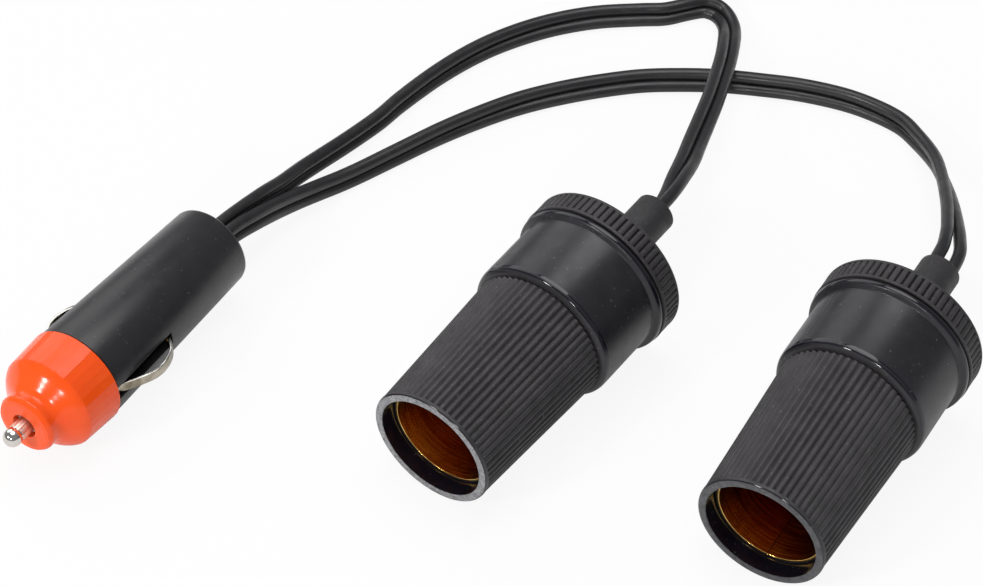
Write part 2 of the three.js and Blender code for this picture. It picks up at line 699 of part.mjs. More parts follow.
const ahead = new THREE.Vector3();
const sideways = new THREE.Vector3();
const upwards = new THREE.Vector3();
const up = new THREE.Vector3(0, 0, 1);

for (const [name, route] of Object.entries(routes)) {
  const points = route.map(([x, y, z]) => new THREE.Vector3(x, y, z));
  const path = new THREE.CatmullRomCurve3(points, false, "centripetal");
  const shape = new THREE.Shape(cordSection().map(([x, y]) => new THREE.Vector2(x, y)));
  const tube = new THREE.ExtrudeGeometry(shape, { depth: 1, steps: cordSteps, bevelEnabled: false });
  const p = tube.attributes.position;
  for (let i = 0; i < p.count; i++) {
    const u = Math.min(Math.max(p.getZ(i), 0), 1);
    const t = path.getUtoTmapping(u);
    const at = path.getPoint(t);
    ahead.copy(path.getTangent(t));
    sideways.crossVectors(ahead, up).normalize();
    upwards.crossVectors(sideways, ahead);
    const place = t * (route.length - 1);
    const k = Math.min(Math.floor(place), route.length - 2);
    const turn = radians(THREE.MathUtils.lerp(route[k][3], route[k + 1][3], place - k));
    const c = Math.cos(turn);
    const s = Math.sin(turn);
    const wide = p.getX(i);
    const thick = p.getY(i);
    at.addScaledVector(sideways, wide * c + thick * s);
    at.addScaledVector(upwards, thick * c - wide * s);
    p.setXYZ(i, at.x, at.y, at.z);
  }
  add(splitter, name, bodyOf(tube), "cord");
}

export default splitter;
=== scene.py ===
# %% [markdown]
# # A two-way splitter for a car lighter socket
#
# This lesson dresses a small electrical part: an orange-nosed plug, two flat twin cords and two
# fluted sockets lined with brass. The solid model is loaded first and stays as it is. Each piece
# that shows is then modelled again with finer edges, and gets a material made of nodes.
# Lengths are written in millimetres along each unit's own axis, and one matrix per unit turns
# them into metres in the shared frame.

from math import atan2, cos, hypot, pi, radians, sin, sqrt, tau

import bmesh
import bpy
from mathutils import Matrix, Vector


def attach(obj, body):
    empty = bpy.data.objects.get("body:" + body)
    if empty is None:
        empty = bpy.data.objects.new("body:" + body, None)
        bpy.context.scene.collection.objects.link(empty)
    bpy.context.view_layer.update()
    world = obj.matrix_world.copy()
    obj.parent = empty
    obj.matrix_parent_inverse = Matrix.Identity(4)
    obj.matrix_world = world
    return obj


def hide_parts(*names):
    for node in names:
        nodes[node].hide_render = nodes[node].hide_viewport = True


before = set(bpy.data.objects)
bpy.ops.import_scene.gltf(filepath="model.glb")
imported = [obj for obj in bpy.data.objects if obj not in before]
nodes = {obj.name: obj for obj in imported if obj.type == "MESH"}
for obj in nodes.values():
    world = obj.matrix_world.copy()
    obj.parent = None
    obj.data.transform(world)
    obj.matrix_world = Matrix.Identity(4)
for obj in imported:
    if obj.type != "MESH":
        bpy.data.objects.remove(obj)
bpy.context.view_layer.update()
MM = 0.001
print("loaded", len(nodes), "solids")

# %% [markdown]
# ## The camera
#
# The photo was taken with a long lens from above the front, a little to the right. A long lens
# keeps the circles of the sockets nearly the same size at both ends, so the focal length matters
# as much as the place. The camera is turned towards one point with a tracking rotation, which
# saves working out angles by hand.

# %% Camera
camera = bpy.data.objects.new("camera", bpy.data.cameras.new("camera"))
bpy.context.scene.collection.objects.link(camera)
camera.data.sensor_width = 36
camera.data.lens = 120.81
camera.location = (0.2425, -0.3741, 0.4656)
looked_at = Vector((-0.0181, 0.02807, 0))
camera.rotation_euler = (looked_at - camera.location).to_track_quat("-Z", "Y").to_euler()
bpy.context.scene.camera = camera
print("camera is", round((looked_at - camera.location).length, 3), "m from the middle")

# %% [markdown]
# ## Small tools for materials
#
# Every material below starts from one Principled shader. Plain numbers go straight into its
# sockets. What varies over the surface comes from noise, which is stretched between two values
# by a Map Range node. The noise reads Object coordinates in metres, so its grain keeps its real
# size on every piece.


# %% Material tools
def new_material(name, **settings):
    """A material and its Principled shader, with plain values in the sockets that are named."""
    material = bpy.data.materials.new(name)
    material.use_nodes = True
    shader = material.node_tree.nodes["Principled BSDF"]
    for socket, value in settings.items():
        shader.inputs[socket.replace("_", " ")].default_value = value
    return material, shader


def coordinates(material, stretch=(1, 1, 1), attribute=None):
    """Object coordinates, or the piece's own attribute, scaled along each axis."""
    tree = material.node_tree
    if attribute:
        source = tree.nodes.new("ShaderNodeAttribute")
        source.attribute_name = attribute
        output = source.outputs["Vector"]
    else:
        output = tree.nodes.new("ShaderNodeTexCoord").outputs["Object"]
    mapping = tree.nodes.new("ShaderNodeMapping")
    mapping.inputs["Scale"].default_value = stretch
    tree.links.new(output, mapping.inputs["Vector"])
    return mapping.outputs["Vector"]


def noise(material, vector, size, detail=3.0, distortion=0.0):
    """Noise whose blotches are about the size given, in metres."""
    node = material.node_tree.nodes.new("ShaderNodeTexNoise")
    node.inputs["Scale"].default_value = 1 / size
    node.inputs["Detail"].default_value = detail
    node.inputs["Distortion"].default_value = distortion
    material.node_tree.links.new(vector, node.inputs["Vector"])
    return node.outputs["Fac"]


def between(material, source, low, high, first=0.35, last=0.65):
    """Stretches the source's values from first..last to low..high."""
    node = material.node_tree.nodes.new("ShaderNodeMapRange")
    for socket, value in zip(("From Min", "From Max", "To Min", "To Max"), (first, last, low, high)):
        node.inputs[socket].default_value = value
    material.node_tree.links.new(source, node.inputs["Value"])
    return node.outputs["Result"]


def mixed(material, factor, colour_a, colour_b):
    """Mixes two colours, each a tuple or the output of another node."""
    node = material.node_tree.nodes.new("ShaderNodeMix")
    node.data_type = "RGBA"
    material.node_tree.links.new(factor, node.inputs["Factor"])
    for socket, colour in zip(("A", "B"), (colour_a, colour_b)):
        target = next(s for s in node.inputs if s.name == socket and s.type == "RGBA")
        if isinstance(colour, tuple):
            target.default_value = (*colour, 1)
        else:
            material.node_tree.links.new(colour, target)
    return next(s for s in node.outputs if s.type == "RGBA")


def wire_up(material, shader, colour=None, roughness=None, height=None, depth=0.0, strength=1.0):
    """Connects colour, roughness and a bump of the given depth in metres to the shader."""
    links = material.node_tree.links
    if colour is not None:
        links.new(colour, shader.inputs["Base Color"])
    if roughness is not None:
        links.new(roughness, shader.inputs["Roughness"])
    if height is not None:
        bump = material.node_tree.nodes.new("ShaderNodeBump")
        bump.inputs["Distance"].default_value = depth
        bump.inputs["Strength"].default_value = strength
        links.new(height, bump.inputs["Height"])
        links.new(bump.outputs["Normal"], shader.inputs["Normal"])


print("material tools are ready")

# %% [markdown]
# ## Black plastics and the cord's sheath
#
# There are four blacks. The flutes and caps are matte, the barrel of the plug is satin, and the
# band behind the flutes is glossy. The flat mouth rings are grey: a painted reflection makes the
# first socket's ring light, and painted shade keeps the second's darker. They share a recipe: a
# dark colour that drifts a little, a roughness with blotches, pale specks of dust, and the fine
# grain of a spark-eroded mould as a bump. The sheath's grain follows an attribute that runs along
# the cord, because the cord bends and its extrusion lines bend with it.


# %% Black plastics
def black_plastic(name, dark, light, smooth, rough, grain, grain_size=0.00022, dust=0.5, patch=0.004):
    material, shader = new_material(name, IOR=1.5)
    place = coordinates(material)
    tone = mixed(material, between(material, noise(material, place, patch), 0, 1, 0.3, 0.7), dark, light)
    specks = between(material, noise(material, place, 0.0007, 2), 0, dust, 0.7, 0.74)
    colour = mixed(material, specks, tone, (0.16, 0.16, 0.17))
    blotches = between(material, noise(material, place, 0.003, 5), smooth, rough)
    wire_up(material, shader, colour, blotches, noise(material, place, grain_size, 2), grain)
    return material


matte_black = black_plastic(
    "matte_black", (0.026, 0.023, 0.025), (0.042, 0.038, 0.041), 0.45, 0.6, 0.00008)
satin_black = black_plastic(
    "satin_black", (0.017, 0.016, 0.018), (0.021, 0.0195, 0.022), 0.28, 0.34, 0.00002, 0.00015)
gloss_black = black_plastic(
    "gloss_black", (0.012, 0.0115, 0.0145), (0.017, 0.016, 0.0195), 0.28, 0.36, 0.000006, 0.0002)
polished_black = black_plastic(
    "polished_black", (0.005, 0.005, 0.009), (0.008, 0.008, 0.013), 0.06, 0.13, 0.000003, 0.0002)
# The ring greys are one material in two copies. The first ring's lighter grey is a painted reflection and the second
# ring's darker grey is painted shade. The specks on both are dust.
ring_greys_painted_lit_and_shaded = [
    black_plastic("ring_1_painted_reflection", (0.12, 0.12, 0.125), (0.36, 0.36, 0.37), 0.45, 0.7, 0.0001, 0.0004, 0.9, 0.0006),
    black_plastic("ring_2_painted_shade", (0.03, 0.03, 0.033), (0.085, 0.085, 0.09), 0.3, 0.5, 0.00005, 0.0004, 0.9, 0.0008),
]

sheath, shader = new_material("cord_sheath", IOR=1.5)
along = coordinates(sheath, (1, 1, 0.02), "along_cord")
spots = coordinates(sheath, (1, 1, 1), "along_cord")
wire_up(
    sheath, shader,
    mixed(sheath, noise(sheath, spots, 0.004), (0.012, 0.012, 0.0135), (0.022, 0.0215, 0.023)),
    between(sheath, noise(sheath, spots, 0.002, 4), 0.3, 0.42),
    noise(sheath, along, 0.0004, 2), 0.000012,
)
print("black materials:", matte_black.name, satin_black.name, gloss_black.name, polished_black.name)

# %% [markdown]
# ## The cords
#
# A flat twin flex is two round conductors side by side, so each cord is two tubes that touch, and
# the groove between them comes for free. A route of points gives where the cord lies, and a
# fourth number turns its flat side. A centripetal Catmull-Rom curve passes through the points
# without overshooting. Near a socket the two conductors have come a little apart, so each cord
# has a short list of how far they part, by the distance from the socket's boss.

# %% Routes of the cords
CORD_WIDE = 0.0053
LOBE = CORD_WIDE / 4
cords = [
    {
        "name": "cord_1", "node": "cord_to_socket_1", "length": 0.2334,
        "parting": [(0, 0.0), (40, 0.0)],
        "route": [
            (-68.35, 0.06, 10.7, 90), (-68.4, 5.1, 10.6, 90), (-67.6, 17.4, 9.3, 90),
            (-67.6, 24.3, 7.4, 90), (-67.9, 31.8, 5.6, 90), (-67.7, 38.6, 4.2, 90),
            (-67.1, 44.9, 3.3, 89), (-66.3, 51.2, 2.8, 88), (-65.4, 57.4, 2.7, 86),
            (-64.9, 64.2, 2.7, 83), (-63.0, 76.9, 2.7, 77), (-60.0, 88.1, 2.6, 70),
            (-55.7, 97.6, 2.5, 62), (-50.4, 105.7, 2.4, 54), (-44.2, 112.3, 2.4, 48),
            (-37.2, 117.7, 2.4, 48), (-32.6, 120.9, 2.5, 58), (-29.6, 124.4, 2.6, 66),
            (-27.4, 127.2, 2.5, 60), (-25.0, 128.4, 2.3, 42), (-22.6, 128.3, 1.8, 20),
            (-19.9, 126.1, 2.3, 2), (-17.0, 122.2, 3.5, -14), (-14.2, 116.8, 5.4, -24),
            (-10.9, 109.5, 7.3, -32), (-8.1, 102.2, 8.7, -34), (-5.0, 93.6, 10.2, -34),
            (-2.4, 85.6, 11.7, -31), (0.1, 77.7, 13.2, -24), (2.8, 69.8, 15.2, -8),
            (5.2, 61.6, 17.5, 18), (6.8, 55.0, 18.6, 44), (7.3, 49.8, 18.8, 58),
        ],
    },
    {
        "name": "cord_2", "node": "cord_to_socket_2", "length": 0.2346,
        "parting": [(0, 0.6), (4, 0.6), (18, 0.12), (26, 0.0)],
        "route": [
            (-65.41, 0.06, 10.7, 90), (-65.4, 5.1, 10.6, 90), (-64.7, 13.3, 9.0, 90),
            (-64.5, 20.0, 6.8, 90), (-63.9, 26.1, 4.9, 90), (-62.7, 31.4, 3.7, 89),
            (-61.1, 36.3, 3.0, 88), (-59.4, 41.1, 2.7, 87), (-55.8, 50.8, 2.7, 84),
            (-52.1, 60.5, 2.7, 79), (-48.0, 69.6, 2.6, 72), (-43.3, 78.2, 2.5, 62),
            (-37.9, 85.7, 2.4, 52), (-32.0, 92.5, 2.3, 46), (-25.6, 98.6, 2.3, 45),
            (-18.5, 103.5, 2.4, 50), (-11.0, 107.8, 2.5, 58), (-3.1, 111.3, 2.6, 65),
            (4.9, 114.5, 2.6, 65), (13.5, 116.7, 2.6, 66), (20.5, 117.3, 2.6, 72),
            (28.2, 116.4, 2.7, 80), (34.1, 113.2, 3.2, 88), (40.8, 107.4, 5.2, 98),
            (46.5, 99.8, 8.2, 112), (51.8, 91.4, 11.7, 128), (56.5, 83.0, 15.0, 143),
            (60.0, 75.9, 17.5, 157), (61.9, 70.8, 18.6, 164), (62.7, 65.3, 18.8, 165),
        ],
    },
]
print("routes:", [len(cord["route"]) for cord in cords], "points")


# %% A smooth line through points
def smooth_line(points, steps):
    """Points along a centripetal Catmull-Rom curve, in as many dimensions as the points have."""
    points = [Vector(p) for p in points]
    ends = [2 * points[0] - points[1], *points, 2 * points[-1] - points[-2]]
    line = []
    for p0, p1, p2, p3 in zip(ends, ends[1:], ends[2:], ends[3:]):
        a, b, c = (sqrt((q - p).length) for p, q in ((p0, p1), (p1, p2), (p2, p3)))
        leave = ((p1 - p0) / a - (p2 - p0) / (a + b) + (p2 - p1) / b) * b
        arrive = ((p2 - p1) / b - (p3 - p1) / (b + c) + (p3 - p2) / c) * b
        for i in range(steps):
            t = i / steps
            line.append(
                p1 * (2 * t**3 - 3 * t**2 + 1) + leave * (t**3 - 2 * t**2 + t)
                + p2 * (3 * t**2 - 2 * t**3) + arrive * (t**3 - t**2)
            )
    return line + [points[-1]]


def looked_up(table, at):
    """The value at a place in a list of (place, value) pairs, eased from one to the next."""
    if at >= table[-1][0]:
        return table[-1][1]
    (x0, y0), (x1, y1) = next(pair for pair in zip(table, table[1:]) if at < pair[1][0])
    t = max(0.0, (at - x0) / (x1 - x0))
    return y0 + (y1 - y0) * t * t * (3 - 2 * t)


print("a smooth line through 3 points has", len(smooth_line([(0, 0), (1, 0), (1, 1)], 4)), "points")

# %% [markdown]
# Each tube starts as one ring of edges. The ring is extruded step by step, and the new edge ring
# is moved with the matrix that leads from one place on the route to the next. A vector attribute
# keeps where each point would lie if the cord were pulled straight, for the sheath's material.


# %% Cord meshes
def cord_frames(cord):
    """A matrix for each step of the route: x across the cord, y through it, z along it."""
    line = smooth_line(cord["route"], 8)
    places = [p.to_3d() * MM for p in line]
    first, last = (places[0] - places[1]).normalized(), (places[-1] - places[-2]).normalized()
    inside = 1.5 * MM
    places = [places[0] + first * inside, *places, places[-1] + last * inside]
    turns = [line[0][3], *(p[3] for p in line), line[-1][3]]
    frames = []
    for i, (place, turn) in enumerate(zip(places, turns)):
        ahead = places[min(i + 1, len(places) - 1)] - places[max(i - 1, 0)]
        ahead.normalize()
        side = ahead.cross(Vector((0, 0, 1))).normalized()
        up = side.cross(ahead)
        across = side * cos(radians(turn)) - up * sin(radians(turn))
        frames.append(Matrix((across, ahead.cross(across), ahead)).transposed().to_4x4())
        frames[-1].translation = place
    return frames


def add_tube(bm, frames, offsets, distances, layer):
    """A closed tube round a line that runs beside the route, at the offset given for each step."""
    ring = bmesh.ops.create_circle(bm, segments=24, radius=LOBE)["verts"]
    straight = {v: v.co.copy() for v in ring}
    edges = list({e for v in ring for e in v.link_edges})
    bmesh.ops.contextual_create(bm, geom=edges)
    tilt = Matrix.Identity(4)
    for i, (matrix, offset, distance) in enumerate(zip(frames, offsets, distances)):
        new_tilt = matrix @ Matrix.Translation((offset, 0, 0))
        if i:
            grown = bmesh.ops.extrude_edge_only(bm, edges=edges)["geom"]
            ring = [g for g in grown if isinstance(g, bmesh.types.BMVert)]
            edges = [g for g in grown if isinstance(g, bmesh.types.BMEdge)]
        bmesh.ops.transform(bm, matrix=new_tilt @ tilt.inverted(), verts=ring)
        tilt = new_tilt
        for v in ring:
            local = new_tilt.inverted() @ v.co
            v[layer] = (local.x + offset, local.y, distance)
    bmesh.ops.contextual_create(bm, geom=edges)
    return len(straight)


def make_object(name, bm, material, sharp=50):
    """Turns the bmesh into an object with smooth faces and sharp corners."""
    bmesh.ops.recalc_face_normals(bm, faces=bm.faces)
    mesh = bpy.data.meshes.new(name)
    bm.to_mesh(mesh)
    bm.free()
    mesh.shade_smooth()
    mesh.set_sharp_from_angle(angle=radians(sharp))
    for part in material if isinstance(material, list) else [material]:
        mesh.materials.append(part)
    piece = bpy.data.objects.new(name, mesh)
    bpy.context.scene.collection.objects.link(piece)
    return piece


for cord in cords:
    frames = cord_frames(cord)
    distances = [0.0]
    for a, b in zip(frames, frames[1:]):
        distances.append(distances[-1] + (b.translation - a.translation).length)
    bm = bmesh.new()
    layer = bm.verts.layers.float_vector.new("along_cord")
    spread = [looked_up(cord["parting"], (distances[-1] - d) / MM) * MM for d in distances]
    for side in (-1, 1):
        add_tube(bm, frames, [side * (LOBE * 0.965 + s) for s in spread], distances, layer)
    piece = make_object(cord["name"], bm, sheath)
    path = [f.translation for f in frames]
    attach(piece, "splitter")
    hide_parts(cord["node"])
    print(cord["name"], "is", round(distances[-1] / MM, 1), "mm long")

# %% [markdown]
# ## Turned pieces
#
# Nearly every piece here is round, so each is drawn as half of its section and spun about its
# axis. The section is a chain of edges. Rounding its corners with a vertex bevel before the spin
# is cheaper and cleaner than bevelling the finished solid. Flutes and facets are then pressed
# into the spun surface by moving its points towards the axis, which is why the number of spin
# steps is a multiple of the number of flutes.

# %% The units' own axes
plug_place = (
    Matrix.Translation((-0.06688, -0.04394, 0.01072)) @ Matrix.Rotation(radians(-3), 4, "Y")
    @ Matrix.Scale(MM, 4)
)
AXIS_HEIGHT = 0.0130688
REST_TILT = radians(4.37707)


def socket_place(x, y, yaw):
    turn = Matrix.Rotation(radians(-yaw), 4, "Z") @ Matrix.Rotation(REST_TILT, 4, "X")
    return Matrix.Translation((x, y, AXIS_HEIGHT)) @ turn @ Matrix.Scale(MM, 4)


sockets = [
    {"number": 1, "place": socket_place(0.00235, -0.02475, 3.77), "seam": 80, "cord_roll": 58,
     "hole_half": 2.95, "ridge": 134},
    {"number": 2, "place": socket_place(0.06477, -0.00938, -1.6), "seam": -92, "cord_roll": -15,
     "hole_half": 3.35, "ridge": 132},
]
print("units placed:", 1 + len(sockets))


# %% Tools for turned pieces
def section(points, closed=True):
    """A chain of (radius, distance) points. A third number rounds that corner."""
    bm = bmesh.new()
    corners = [bm.verts.new((p[0], p[1], 0)) for p in points]
    for a, b in zip(corners, corners[1:] + corners[:1] if closed else corners[1:]):
        bm.edges.new((a, b))
    for corner, point in zip(corners, points):
        if len(point) > 2:
            bmesh.ops.bevel(
                bm, geom=[corner], offset=point[2], segments=3, affect="VERTICES", profile=0.5,
                material=-1)
    return bm


def spun(points, steps, closed=True, angle=tau):
    """The section spun about the unit's axis, with its normals outwards."""
    bm = section(points, closed)
    bmesh.ops.spin(
        bm, geom=bm.verts[:] + bm.edges[:], cent=(0, 0, 0), axis=(0, 1, 0), angle=angle,
        steps=steps, use_merge=angle == tau)
    bmesh.ops.remove_doubles(bm, verts=bm.verts, dist=0.0005)
    bmesh.ops.recalc_face_normals(bm, faces=bm.faces)
    return bm


def move_radially(bm, change):
    """Moves each point to the radius that change(radius, distance, angle) gives."""
    for v in bm.verts:
        radius = hypot(v.co.x, v.co.z)
        if radius > 0.01:
            share = change(radius, v.co.y, atan2(v.co.z, v.co.x)) / radius
            v.co.x *= share
            v.co.z *= share


def pressed_flutes(count, depth, front, rear, inside_of=0.0, sharpness=2):
    """A change of radius that presses narrow grooves between broad crests."""
    def change(radius, distance, angle):
        if not front < distance < rear or radius < inside_of:
            return radius
        return radius - depth * (0.5 + 0.5 * cos(angle * count)) ** sharpness
    return change


def paint(bm, index, front, rear, inner=0.0):
    """Gives a material index to the faces between two distances and outside a radius."""
    for face in bm.faces:
        middle = face.calc_center_median()
        if front < middle.y < rear and hypot(middle.x, middle.z) > inner:
            face.material_index = index


def add_piece(name, bm, place, material, slot, body, *replaced, sharp=50):
    """Moves the bmesh to its place and hands the piece over to the frame."""
    bmesh.ops.transform(bm, matrix=place, verts=bm.verts)
    piece = make_object(name, bm, material, sharp)
    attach(piece, body)
    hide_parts(*replaced)
    print(name, "has", len(piece.data.polygons), "faces")
    return piece


# %% [markdown]
# ## Metals and the other materials
#
# The brass lining is drawn sheet: bright, with brown tarnish in streaks along the draw. Deeper in
# the bore its colour is blended to a dark red-brown, which is painted shade. The nickel of the
# tip is lightly worn, and the strips' wide faces are a darker nickel than their edges, which is
# painted shade. The nose is a glossy orange-red that lets a little light in under its surface.


# %% Metals
def metal(name, bright, dull, smooth, rough, streak, blotch, depth, stretch=(1, 0.06, 1), bore_painted_shade=None):
    material, shader = new_material(name, Metallic=1.0)
    place = coordinates(material)
    lines = coordinates(material, stretch)
    patches = between(material, noise(material, place, blotch, 5, 0.6), 0, 1, 0.4, 0.68)
    scratches = noise(material, lines, streak, 3)
    colour = mixed(material, patches, bright, dull)
    # Deeper in the bore the colour is blended from the metal's own to a dark tone, from 5 mm to 17 mm in: painted
    # shade.
    if bore_painted_shade:
        inwards = material.node_tree.nodes.new("ShaderNodeAttribute")
        inwards.attribute_name = "depth_in_bore"
        colour = mixed(material, between(material, inwards.outputs["Fac"], 0, 1, 5, 17), colour, bore_painted_shade)
    wire_up(
        material, shader, colour,
        between(material, scratches, smooth, rough), scratches, depth,
    )
    return material


# The brass's last colour is the painted shade deep in the bore.
brass = metal(
    "brass", (0.9, 0.6, 0.2), (0.7, 0.36, 0.08), 0.1, 0.24, 0.0003, 0.006, 0.00004, (0.03, 1, 0.03),
    (0.36, 0.06, 0.012))
ribbed_nickel = metal(
    "ribbed_nickel", (0.9, 0.86, 0.78), (0.7, 0.65, 0.56), 0.34, 0.48, 0.0003, 0.003, 0.000001)
nickel = metal("nickel_plate", (0.78, 0.76, 0.72), (0.55, 0.52, 0.47), 0.08, 0.18, 0.0003, 0.003, 0.0000004)
# A darker nickel for the strips' wide faces, as painted shade.
strip_nickel_painted_shade = metal(
    "strip_nickel_painted_shade", (0.46, 0.42, 0.34), (0.2, 0.17, 0.12), 0.12, 0.24, 0.0002, 0.003, 0.000001)
steel = metal("steel", (0.6, 0.6, 0.62), (0.4, 0.4, 0.42), 0.25, 0.42, 0.0002, 0.002, 0.000002)
copper = metal("copper", (0.85, 0.42, 0.26), (0.45, 0.2, 0.12), 0.25, 0.45, 0.0002, 0.002, 0.00001)

# %% Orange plastic, fibre board and glass
orange, shader = new_material(
    "orange_plastic", IOR=1.5, Specular_IOR_Level=0.36, Subsurface_Weight=0.12, Subsurface_Scale=0.0015)
place = coordinates(orange)
wire_up(
    orange, shader,
    mixed(orange, noise(orange, place, 0.005), (0.95, 0.078, 0.006), (1.0, 0.112, 0.012)),
    between(orange, noise(orange, place, 0.002, 4), 0.12, 0.2),
    noise(orange, place, 0.0004, 2), 0.000006,
)

fibre, shader = new_material("fibre_board", IOR=1.45)
place = coordinates(fibre)
threads = noise(fibre, coordinates(fibre, (1, 1, 0.2)), 0.0004, 6)
wire_up(
    fibre, shader, mixed(fibre, threads, (0.1, 0.03, 0.014), (0.24, 0.09, 0.045)),
    between(fibre, noise(fibre, place, 0.001), 0.55, 0.8), threads, 0.00002,
)

glass, shader = new_material("fuse_glass", IOR=1.5, Transmission_Weight=1.0)
place = coordinates(glass)
wire_up(
    glass, shader, mixed(glass, noise(glass, place, 0.003), (0.92, 0.96, 0.95), (0.98, 1.0, 0.99)),
    between(glass, noise(glass, place, 0.002), 0.02, 0.08),
)
print("other materials:", orange.name, fibre.name, glass.name)

# %% [markdown]
# ## A socket's housing
#
# One moulding: a plain mouth ring, a grip of 58 fine flutes that widens towards the rear, a short
# deep groove, a bevel up to a smooth band, a bevelled flange, and a neck for the back cap. The
# section also has the stepped bore. A fine raised line on the band is where the halves of the
# mould met.

# %% Housings
GRIP_FRONT, GRIP_REAR = 0.9, 34.4
BAND_FRONT, BAND_REAR = 36.15, 50.67
BAND_R = 15.735
housing_section = [
    (11.4, 0.0, 0.15), (13.13, 0.0, 0.5), (13.13, GRIP_FRONT), (13.05, GRIP_FRONT + 0.04),
    (13.05 + 1.35 * 0.5, 18.0), (14.4, GRIP_REAR - 0.04), (13.6, GRIP_REAR), (13.6, 34.96, 0.08),
    (14.78, 34.96, 0.06), (15.5, 35.4, 0.2), (BAND_R, BAND_FRONT, 0.3), (BAND_R, BAND_REAR, 0.15),
    (16.76, 51.12, 0.2), (16.98, 51.6, 0.2), (16.98, 52.2, 0.12), (14.8, 52.2, 0.1), (14.8, 55.7, 0.2),
    (12.5, 55.7, 0.2), (12.5, 49.4), (4.3, 49.4), (4.3, 47.0), (11.4, 47.0),
    (11.4, 3.9),
]
flute_housing = pressed_flutes(58, 0.45, GRIP_FRONT + 0.01, GRIP_REAR - 0.01, 12.9)
for socket in sockets:
    bm = spun(housing_section, 58 * 8)
    move_radially(bm, flute_housing)
    ridge_at = radians(socket["ridge"])
    move_radially(bm, lambda r, t, a: r + 0.05 if (
        BAND_FRONT < t < BAND_REAR and r > 15 and abs(a - ridge_at) < pi / 464) else r)
    paint(bm, 3, -1, 4)
    paint(bm, 0, 0.3, 4, 12)
    # The front face of the mouth ring gets its socket's grey: painted reflection on the first socket, painted shade on
    # the second.
    paint(bm, 1, -1, 0.12, 11)
    paint(bm, 2, 34.98, 60, 13.9)
    for front, rear in ((35.2, 35.7), (BAND_FRONT - 0.2, BAND_FRONT + 0.2), (51.3, 51.9)):
        paint(bm, 3, front, rear, 13.9)
    add_piece(
        f"housing_shell_{socket['number']}", bm, socket["place"],
        [matte_black, ring_greys_painted_lit_and_shaded[socket["number"] - 1], gloss_black, polished_black], "black_plastic", "splitter",
        f"housing_{socket['number']}")

# %% [markdown]
# ## A socket's back cap
#
# The cap has two plain rims with 71 coarser flutes between them, and a round boss behind it that
# the cord leaves through. The cord's hole is a slot with round ends. It is spun as a circle, and
# each point of its edge is then moved outwards until it meets the slot's outline.


# %% Back caps
def slot_radius(angle, half_wide, half_thick):
    """How far the outline of a round-ended slot lies from its middle, in one direction."""
    across, through = abs(cos(angle)), abs(sin(angle))
    straight = half_wide - half_thick
    if through > 1e-6 and half_thick * across / through <= straight:
        return half_thick / through
    return straight * across + sqrt(half_thick**2 - (straight * through) ** 2)


HOLE_R = 1.0
cap_section = [
    (HOLE_R, 56.0), (15.1, 56.0), (15.1, 52.75, 0.15), (17.16, 52.75, 0.2), (17.16, 53.33, 0.06),
    (17.12, 53.36), (17.12, 57.09), (17.16, 57.12, 0.06), (17.16, 57.7, 0.22), (4.25, 57.7, 0.5),
    (4.25, 66.0), (4.25, 74.6, 0.4), (HOLE_R, 74.6, 0.0),
]
cap_section[-1] = cap_section[-1][:2]
flute_cap = pressed_flutes(71, 0.6, 53.35, 57.1, 16.9, 6)
for socket in sockets:
    bm = spun(cap_section, 71 * 6)
    move_radially(bm, flute_cap)
    roll, half = radians(socket["cord_roll"]), socket["hole_half"]
    move_radially(bm, lambda r, t, a: slot_radius(a + roll, half, 1.5) if r < 1.1 else r)
    add_piece(
        f"cord_cap_{socket['number']}", bm, socket["place"], matte_black, "black_plastic",
        "splitter", f"back_cap_{socket['number']}", sharp=40)

# %% [markdown]
# ## Brass shell and contacts of a socket
#
# The shell is a cup of sheet brass rolled to a tube, so the spin stops just short of a full turn
# and leaves a butt seam. On its floor lies a disc of fibre board, and on that the centre contact,
# a nickel dome on a shank.

# %% Shells and contacts
shell_section = [
    (10.6, 3.76, 0.12), (11.1, 3.76, 0.12), (11.1, 46.7, 0.4), (4.3, 46.7), (4.3, 46.2), (10.6, 46.2, 0.3),
]
disc_section = [
    (1.8, 44.4), (8.2, 44.4, 0.15), (8.2, 45.9, 0.15), (4.0, 45.9), (4.0, 49.4), (1.8, 49.4),
]
dome = [(4.0 * sin(radians(a)), 44.1 - 1.7 * cos(radians(a))) for a in range(0, 91, 10)]
contact_section = [*dome, (3.9, 44.1), (1.5, 44.1), (1.5, 53.0, 0.2), (0, 53.0)]
SEAM = 0.15 / 10.8
for socket in sockets:
    number, place = socket["number"], socket["place"]
    bm = spun(shell_section, 180, angle=tau - SEAM)
    bmesh.ops.holes_fill(bm, edges=bm.edges, sides=0)
    # The distance into the bore, which the brass reads to paint shade deeper in.
    depth_in_bore = bm.verts.layers.float.new("depth_in_bore")
    for v in bm.verts:
        v[depth_in_bore] = v.co.y
    turn = Matrix.Rotation(radians(-socket["seam"]) - SEAM / 2, 4, "Y")
    add_piece(
        f"lining_{number}", bm, place @ turn, brass, "brass", "splitter", f"brass_shell_{number}")
    add_piece(
        f"disc_{number}", spun(disc_section, 96), place, fibre, "fibre", "splitter",
        f"insulating_disc_{number}")
    add_piece(
        f"contact_dome_{number}", spun(contact_section, 96, closed=False), place, nickel,
        "nickel_plate", "splitter", f"centre_contact_{number}")

# %% [markdown]
# ## The plug's nose
#
# The nose cap has a skirt with 36 flat facets, for fingers to unscrew it, then a round shoulder,
# a waist and a small disc with the hole for the tip. The facets are made after the spin: between
# two corners, a point on a flat lies nearer to the axis by a cosine.

